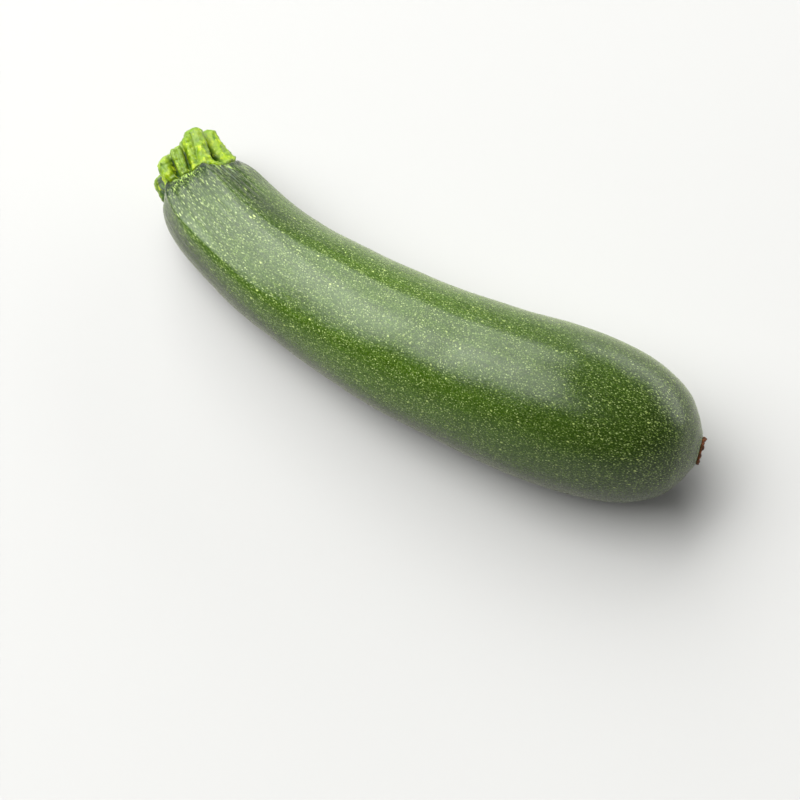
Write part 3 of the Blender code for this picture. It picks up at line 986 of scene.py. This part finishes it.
# %% Wax: a satin gloss over fine pores
skin_shader.inputs["IOR"].default_value = 1.43
skin_shader.inputs["Sheen Weight"].default_value = 0.1
skin_shader.inputs["Sheen Roughness"].default_value = 0.35
skin_shader.inputs["Sheen Tint"].default_value = shade("#f2f0b4")
pores = add_node(tree, "TexNoise", {"Vector": skin_grain, "Scale": 1 / 0.6, "Detail": 2.0, "Roughness": 0.6})
wax = add_node(
    tree, "MapRange",
    {"Value": pores.outputs["Fac"], "From Min": 0.3, "From Max": 0.7, "To Min": 0.2, "To Max": 0.34},
)
tree.links.new(wax.outputs[0], skin_shader.inputs["Roughness"])
pore_bump = add_node(tree, "Bump", {"Height": pores.outputs["Fac"], "Strength": 1.0, "Distance": 0.045 * MM})
tree.links.new(pore_bump.outputs[0], skin_shader.inputs["Normal"])
fruit_skin.data.materials.append(skin)
print(skin.name, "has", len(skin.node_tree.nodes), "nodes")

# %% [markdown]
# ## Fresh stalk
#
# The stalk is soft green wood, full of water. It gives the eye a bright yellow-green, paler on the lobes and
# deeper in the grooves, where painted shade adds to it, with blotches drawn out lengthwise and greyer patches
# where its own skin is thick. A dark band painted at its foot stands for the shade in the crease where it
# meets the skin. The cut face shows pale, moist flesh inside a greener rim.

# %% Start the stalk
stalk = bpy.data.materials.new("fresh_green_stalk")
stalk.use_nodes = True
tree = stalk.node_tree
stalk_shader = tree.nodes["Principled BSDF"]
stalk_fibre = add_node(tree, "Attribute", attribute_name="fibre").outputs["Vector"]
stalk_on_crest = add_node(tree, "Attribute", attribute_name="on_crest").outputs["Fac"]
stalk_near_end = add_node(tree, "Attribute", attribute_name="near_end").outputs["Fac"]
stalk_past_edge = add_node(tree, "Attribute", attribute_name="past_edge").outputs["Fac"]
stalk_cut = add_node(tree, "Attribute", attribute_name="cut").outputs["Fac"]
stalk_cut_share = add_node(tree, "Attribute", attribute_name="cut_share").outputs["Fac"]

# %% Deep green grooves, partly painted shade, paler lobes, pale blotches and fibres
crest_mask = add_node(
    tree, "MapRange", {"Value": stalk_on_crest, "From Min": 0.28, "From Max": 1.0},
    interpolation_type="SMOOTHSTEP",
)
# The grooves' deep green is partly their own colour and partly painted shade, darkest where the surface lies
# lowest between the lobes.
shaded_groove_to_crest = add_node(
    tree, "Mix", {0: crest_mask.outputs[0], 6: shade("#1a3600"), 7: shade("#7d9a0a")}, data_type="RGBA"
)
blotch_grain = add_node(tree, "Mapping", {"Vector": stalk_fibre, "Scale": (0.45, 1.0, 1.0)})
blotches = add_node(tree, "TexNoise", {"Vector": blotch_grain.outputs[0], "Scale": 1 / 1.5, "Detail": 4.0})
dark_blotches = add_node(
    tree, "MapRange", {"Value": blotches.outputs["Fac"], "From Min": 0.48, "From Max": 0.32}
)
darkened = add_node(
    tree, "Mix", {0: dark_blotches.outputs[0], 6: shaded_groove_to_crest.outputs[2], 7: shade("#446a00")},
    data_type="RGBA",
)
pale_blotches = add_node(
    tree, "MapRange", {"Value": blotches.outputs["Fac"], "From Min": 0.56, "From Max": 0.72}
)
blotched = add_node(
    tree, "Mix", {0: pale_blotches.outputs[0], 6: darkened.outputs[2], 7: shade("#aebf1c")},
    data_type="RGBA",
)
cells = add_node(tree, "TexVoronoi", {"Vector": blotch_grain.outputs[0], "Scale": 1 / 1.1})
dots = add_node(
    tree, "MapRange", {"Value": cells.outputs["Distance"], "From Min": 0.3, "From Max": 0.1, "To Max": 0.6},
    interpolation_type="SMOOTHSTEP",
)
dotted = add_node(
    tree, "Mix", {0: dots.outputs[0], 6: blotched.outputs[2], 7: shade("#bccf3c")}, data_type="RGBA"
)

# %% Greyer skin in patches on the lobes and where it was cut across, pale flesh on the cut itself
patches = add_node(tree, "TexNoise", {"Vector": stalk_fibre, "Scale": 1 / 4.0, "Detail": 2.0})
patch_share = add_node(
    tree, "MapRange", {"Value": patches.outputs["Fac"], "From Min": 0.46, "From Max": 0.60, "To Max": 0.6},
    interpolation_type="SMOOTHSTEP",
)
grey_share = add_node(
    tree, "Math", {0: patch_share.outputs[0], 1: crest_mask.outputs[0]}, operation="MULTIPLY"
)
greyed = add_node(
    tree, "Mix", {0: grey_share.outputs[0], 6: dotted.outputs[2], 7: shade("#688436")}, data_type="RGBA"
)
capped = add_node(
    tree, "Mix", {0: stalk_near_end, 6: greyed.outputs[2], 7: shade("#93aa58")}, data_type="RGBA"
)
cut_flesh = add_node(
    tree, "Mix", {0: blotches.outputs["Fac"], 6: shade("#7a9232"), 7: shade("#a3b060")}, data_type="RGBA"
)
cut_rim = add_node(
    tree, "MapRange", {"Value": stalk_cut_share, "From Min": 0.7, "From Max": 0.95},
    interpolation_type="SMOOTHSTEP",
)
cut_face = add_node(
    tree, "Mix", {0: cut_rim.outputs[0], 6: cut_flesh.outputs[2], 7: shade("#6c8c16")}, data_type="RGBA"
)
stalk_colour = add_node(
    tree, "Mix", {0: stalk_cut, 6: capped.outputs[2], 7: cut_face.outputs[2]}, data_type="RGBA"
)
# Painted shade: a dark band at the foot of the stalk, just above the skin's edge, for the shadow in the
# crease there.
painted_foot_shade = add_node(
    tree, "MapRange",
    {"Value": stalk_past_edge, "From Min": -1.3, "From Max": -0.1, "To Max": 0.9},
    interpolation_type="SMOOTHSTEP",
)
foot_shaded = add_node(
    tree, "Mix", {0: painted_foot_shade.outputs[0], 6: stalk_colour.outputs[2], 7: shade("#1e3412")}, data_type="RGBA"
)
tree.links.new(foot_shaded.outputs[2], stalk_shader.inputs["Base Color"])
stalk_shader.inputs["Roughness"].default_value = 0.36
stalk_shader.inputs["IOR"].default_value = 1.36
stalk_shader.inputs["Subsurface Weight"].default_value = 0.12
stalk_shader.inputs["Subsurface Radius"].default_value = (1.0, 1.0, 0.4)
stalk_shader.inputs["Subsurface Scale"].default_value = 1.0 * MM
stalk_bump = add_node(
    tree, "Bump", {"Height": blotches.outputs["Fac"], "Strength": 1.0, "Distance": 0.25 * MM}
)
tree.links.new(stalk_bump.outputs[0], stalk_shader.inputs["Normal"])
stem_stub.data.materials.append(stalk)
print(stalk.name, "has", len(stalk.node_tree.nodes), "nodes")

# %% [markdown]
# ## Dry flower scar
#
# What is left of the flower is dead plant skin: rust brown, matt and crumpled, darker in its cracks.

# %% Scar material
dry_scar = bpy.data.materials.new("dry_flower_scar")
dry_scar.use_nodes = True
tree = dry_scar.node_tree
scar_shader = tree.nodes["Principled BSDF"]
scar_place = add_node(tree, "TexCoord").outputs["Object"]
cracks = add_node(tree, "TexNoise", {"Vector": scar_place, "Scale": 1 / (0.9 * MM), "Detail": 4.0})
crack_mask = add_node(tree, "MapRange", {"Value": cracks.outputs["Fac"], "From Min": 0.35, "From Max": 0.65})
rust = add_node(
    tree, "Mix", {0: crack_mask.outputs[0], 6: shade("#35230e"), 7: shade("#8a4a20")}, data_type="RGBA"
)
tree.links.new(rust.outputs[2], scar_shader.inputs["Base Color"])
scar_shader.inputs["Roughness"].default_value = 0.85
scar_bump = add_node(tree, "Bump", {"Height": cracks.outputs["Fac"], "Strength": 1.0, "Distance": 0.3 * MM})
tree.links.new(scar_bump.outputs[0], scar_shader.inputs["Normal"])
flower_scar.data.materials.append(dry_scar)
print(dry_scar.name, "has", len(dry_scar.node_tree.nodes), "nodes")

# %% [markdown]
# ## Joining the frame
#
# Each fine mesh rides on the one body that the part has, and the CAD node that it stands for is hidden.

# %% Hang each fine mesh on the body and hide its CAD node
for piece, node_name, slot_name in (
    (fruit_skin, "fruit", "green_skin"),
    (stem_stub, "stem", "stem_stub"),
    (flower_scar, "blossom_scar", "dry_scar"),
):
    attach(piece, "root")
    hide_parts(node_name)
    low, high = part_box(node_name)
    corners = [Vector(corner) for corner in piece.bound_box]
    print(piece.name, "faces", len(piece.data.polygons))
    print("  fine mesh x", round(min(c.x for c in corners) / MM, 1), round(max(c.x for c in corners) / MM, 1))
    print("  CAD node x ", round(low.x / MM, 1), round(high.x / MM, 1))
